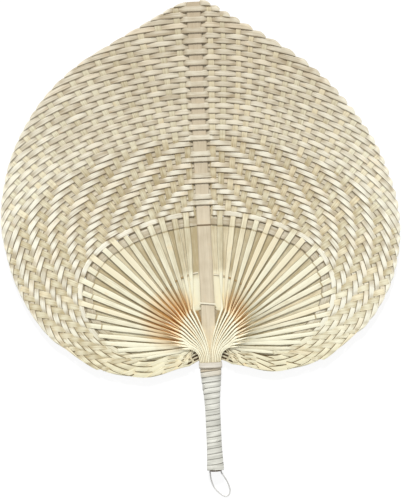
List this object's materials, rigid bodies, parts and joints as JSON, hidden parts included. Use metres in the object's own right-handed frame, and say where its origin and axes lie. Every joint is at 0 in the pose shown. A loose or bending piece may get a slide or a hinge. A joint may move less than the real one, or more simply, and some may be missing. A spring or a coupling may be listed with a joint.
{
  "type": "woven hand fan",
  "caption": "Heart-shaped hand fan of split bamboo, woven round an open splay of ribs, with a strip-bound handle and a hanging loop.",
  "frame": {"origin": "centre of the fan's outline without its loop, on the surface that it lies on", "axes": "+Y along the spine towards the blade's tip, +Z out of the front face"},
  "size_m": [0.2978, 0.3762, 0.0131],
  "materials": {
    "rib_bamboo": "satin",
    "weft_bamboo": "satin",
    "spine_bamboo": "satin",
    "tie_bamboo": "satin",
    "collar_band": "satin",
    "binding_strip": "satin",
    "loop_cord": "satin"
  },
  "bodies": {
    "fan": {"stave_left_front_1": "rib_bamboo", "stave_left_front_2": "rib_bamboo", "stave_left_front_3": "rib_bamboo", "stave_left_back_1": "rib_bamboo", "stave_left_back_2": "rib_bamboo", "stave_left_back_3": "rib_bamboo", "stave_right_front_1": "rib_bamboo", "stave_right_front_2": "rib_bamboo", "stave_right_front_3": "rib_bamboo", "stave_right_back_1": "rib_bamboo", "stave_right_back_2": "rib_bamboo", "stave_right_back_3": "rib_bamboo", "weft_01": "weft_bamboo", "weft_02": "weft_bamboo", "weft_03": "weft_bamboo", "weft_04": "weft_bamboo", "weft_05": "weft_bamboo", "weft_06": "weft_bamboo", "weft_07": "weft_bamboo", "weft_08": "weft_bamboo", "weft_09": "weft_bamboo", "weft_10": "weft_bamboo", "weft_11": "weft_bamboo", "weft_12": "weft_bamboo", "weft_13": "weft_bamboo", "weft_14": "weft_bamboo", "weft_15": "weft_bamboo", "weft_16": "weft_bamboo", "weft_17": "weft_bamboo", "weft_18": "weft_bamboo", "weft_19": "weft_bamboo", "weft_20": "weft_bamboo", "weft_21": "weft_bamboo", "weft_22": "weft_bamboo", "weft_23": "weft_bamboo", "weft_24": "weft_bamboo", "weft_25": "weft_bamboo", "weft_26": "weft_bamboo", "weft_27": "weft_bamboo", "weft_28": "weft_bamboo", "weft_29": "weft_bamboo", "weft_30": "weft_bamboo", "spine": "spine_bamboo", "inner_tie_left": "tie_bamboo", "inner_tie_right": "tie_bamboo", "spine_tie": "tie_bamboo", "collar": "collar_band", "binding": "binding_strip"},
    "loop": {"hanging_loop": "loop_cord"}
  },
  "joints": [
    {"name": "loop_swing", "type": "hinge", "parent": "fan", "child": "loop", "pos_m": [0, -0.17885, 0.00635], "axis": [1, 0, 0], "range_deg": [-90, 90]}
  ]
}
